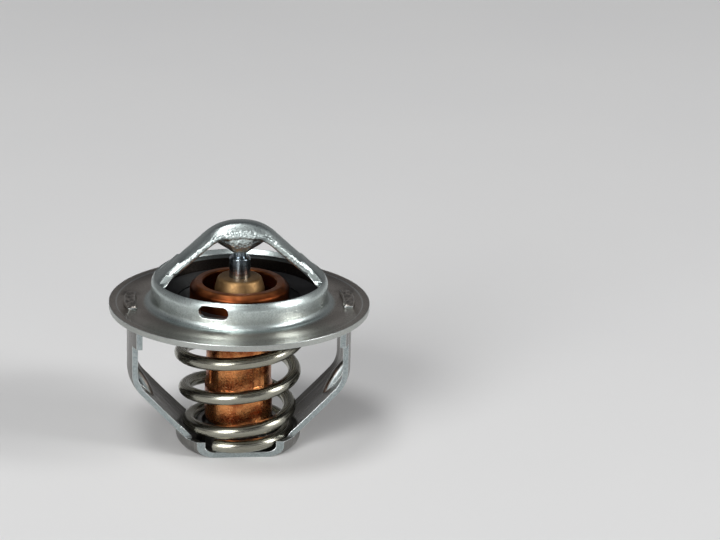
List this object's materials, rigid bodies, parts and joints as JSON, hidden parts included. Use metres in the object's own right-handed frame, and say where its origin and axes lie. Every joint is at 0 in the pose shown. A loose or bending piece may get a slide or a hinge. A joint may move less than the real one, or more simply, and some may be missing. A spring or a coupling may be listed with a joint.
{
  "type": "engine coolant thermostat",
  "caption": "Wax-element coolant thermostat with round flange, arched bridge, strip frame, conical spring and copper capsule.",
  "frame": {"origin": "on the valve axis, in the plane of the flange's underside that sits in the housing", "axes": "+Z along the axis towards the bridge, X along the bridge and the two legs"},
  "size_m": [0.054, 0.054, 0.049],
  "materials": {
    "plated_steel": "satin zinc plating",
    "frame_steel": "satin zinc plating",
    "spring_steel": "satin drawn wire",
    "polished_steel": "ground",
    "guide_brass": "turned satin",
    "capsule_copper": "tumbled copper",
    "plate_copper": "satin copper alloy",
    "wax": "matte wax",
    "sleeve_rubber": "matte",
    "washer_plastic": "matte",
    "seal_rubber": "matte"
  },
  "bodies": {
    "frame": {"upper_frame": "plated_steel", "lower_frame": "frame_steel", "main_spring": "spring_steel", "piston": "polished_steel"},
    "valve": {"valve_plate": "plate_copper", "valve_seal": "seal_rubber", "piston_guide": "guide_brass", "wax_capsule": "capsule_copper", "wax_charge": "wax", "rubber_sleeve": "sleeve_rubber", "backup_washer": "washer_plastic"}
  },
  "joints": [
    {"name": "valve_lift", "type": "slide", "parent": "frame", "child": "valve", "axis": [0, 0, -1], "range_m": [0, 0.008], "stiffness_N_per_m": 2000, "springref_m": -0.001, "deforming": ["main_spring"]}
  ]
}
